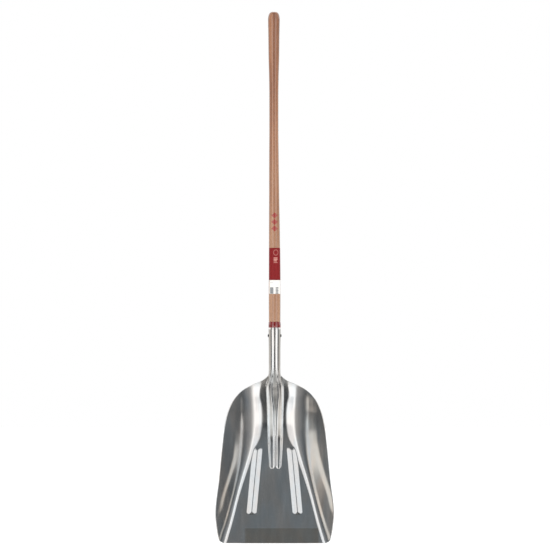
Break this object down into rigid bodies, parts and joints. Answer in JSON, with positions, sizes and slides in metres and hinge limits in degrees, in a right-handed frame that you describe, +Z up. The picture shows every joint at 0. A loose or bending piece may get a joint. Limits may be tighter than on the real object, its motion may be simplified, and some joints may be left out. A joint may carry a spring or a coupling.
{
  "type": "scoop shovel",
  "caption": "Long-handled scoop shovel: deep pressed aluminium scoop with a rolled socket, riveted to a straight turned wood handle.",
  "frame": {"origin": "middle of the lip's bottom edge, where the shovel stands", "axes": "+Z runs up from the lip, parallel to the handle; +X is across the scoop; the hollow of the scoop faces -Y"},
  "size_m": [0.3692, 0.1629, 1.65],
  "materials": {
    "sheet_aluminium": "bright rolled sheet with faint drawing marks",
    "handle_wood": "clear satin lacquer on straight-grained ash",
    "red_plastic": "glossy",
    "rivet_steel": "dull, darkened",
    "red_film": "smooth printed film",
    "white_film": "smooth printed film"
  },
  "bodies": {
    "root": {"scoop": "sheet_aluminium", "handle": "handle_wood", "collar_ring": "red_plastic", "socket_rivet": "rivet_steel", "red_label": "red_film", "white_label": "white_film"}
  },
  "joints": []
}
